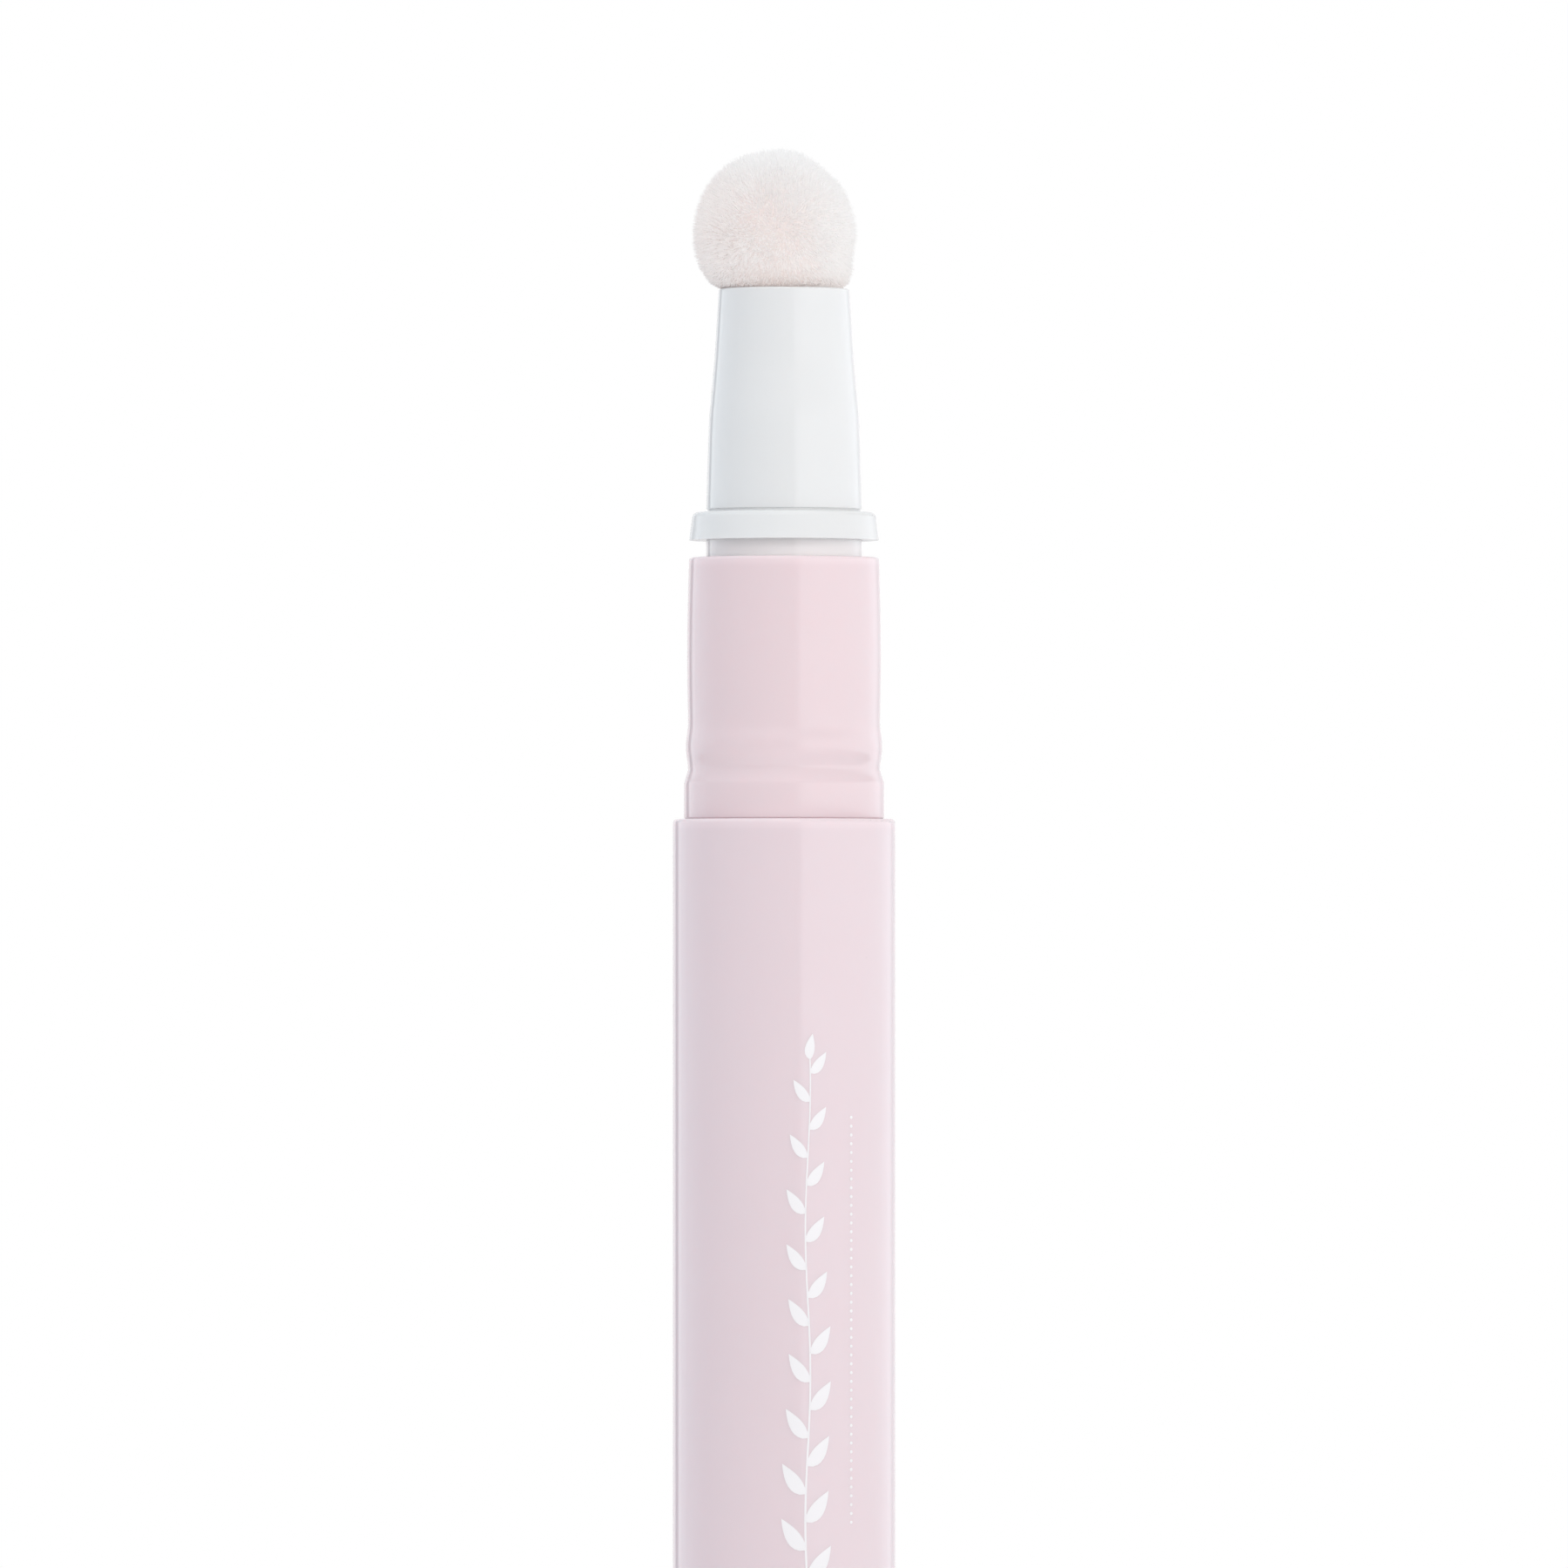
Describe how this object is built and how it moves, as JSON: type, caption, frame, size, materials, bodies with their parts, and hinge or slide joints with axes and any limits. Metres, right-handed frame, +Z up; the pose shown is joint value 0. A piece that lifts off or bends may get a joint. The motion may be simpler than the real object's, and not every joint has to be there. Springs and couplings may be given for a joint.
{
  "type": "nail oil pen",
  "caption": "Slim twist pen for nail oil, open: a round flocked tip on a tapered white holder, a collar for a cap, a smooth barrel and a twist knob that feeds the oil.",
  "frame": {"origin": "centre of the tail end, the flat ring that the pen stands on", "axes": "+Z up the pen's axis to the applicator tip, -Y the side that faces the camera, +X to its right"},
  "size_m": [0.014, 0.014, 0.1362],
  "materials": {
    "pink_gloss": "pale pink moulded plastic, glossy",
    "pink_collar": "pale pink moulded plastic, a little warmer than the barrel",
    "white_gloss": "white moulded plastic, glossy",
    "white_soft": "soft waxy white polyethylene",
    "flock": "short off-white nylon flock on foam",
    "core_plastic": "natural polypropylene",
    "seal_rubber": "translucent silicone",
    "clear_plastic": "clear to milky polypropylene",
    "mechanism_plastic": "natural white acetal",
    "spring_plastic": "natural acetal, springy"
  },
  "bodies": {
    "barrel": {"barrel_sleeve": "pink_gloss", "cap_collar": "pink_collar", "reservoir_tube": "clear_plastic", "applicator_ferrule": "white_gloss", "seal_ring": "white_soft", "neck_o_ring": "seal_rubber", "orifice_plug": "white_soft", "feed_tube": "core_plastic", "tip_core": "core_plastic", "flocked_tip": "flock", "spindle_nut": "mechanism_plastic", "mechanism_housing": "mechanism_plastic", "ratchet_ring": "mechanism_plastic", "bearing_ring": "mechanism_plastic"},
    "knob": {"twist_knob": "pink_gloss", "knob_end_plug": "pink_gloss", "drive_sleeve": "mechanism_plastic", "click_ring": "spring_plastic"},
    "spindle": {"spindle": "mechanism_plastic"},
    "piston": {"piston": "white_soft"}
  },
  "joints": [
    {"name": "knob_turn", "type": "hinge", "parent": "barrel", "child": "knob", "pos_m": [0, 0, 0], "axis": [0, 0, 1], "range_deg": [0, 6336], "deforming": ["click_ring"]},
    {"name": "spindle_climb", "type": "slide", "parent": "knob", "child": "spindle", "axis": [0, 0, 1], "range_m": [0, 0.0352]},
    {"name": "piston_climb", "type": "slide", "parent": "barrel", "child": "piston", "axis": [0, 0, 1], "range_m": [0, 0.0352]}
  ],
  "couplings": [
    {"joint": "spindle_climb", "follows": "knob_turn", "m_per_rad": 0.00031831},
    {"joint": "piston_climb", "follows": "knob_turn", "m_per_rad": 0.00031831}
  ]
}
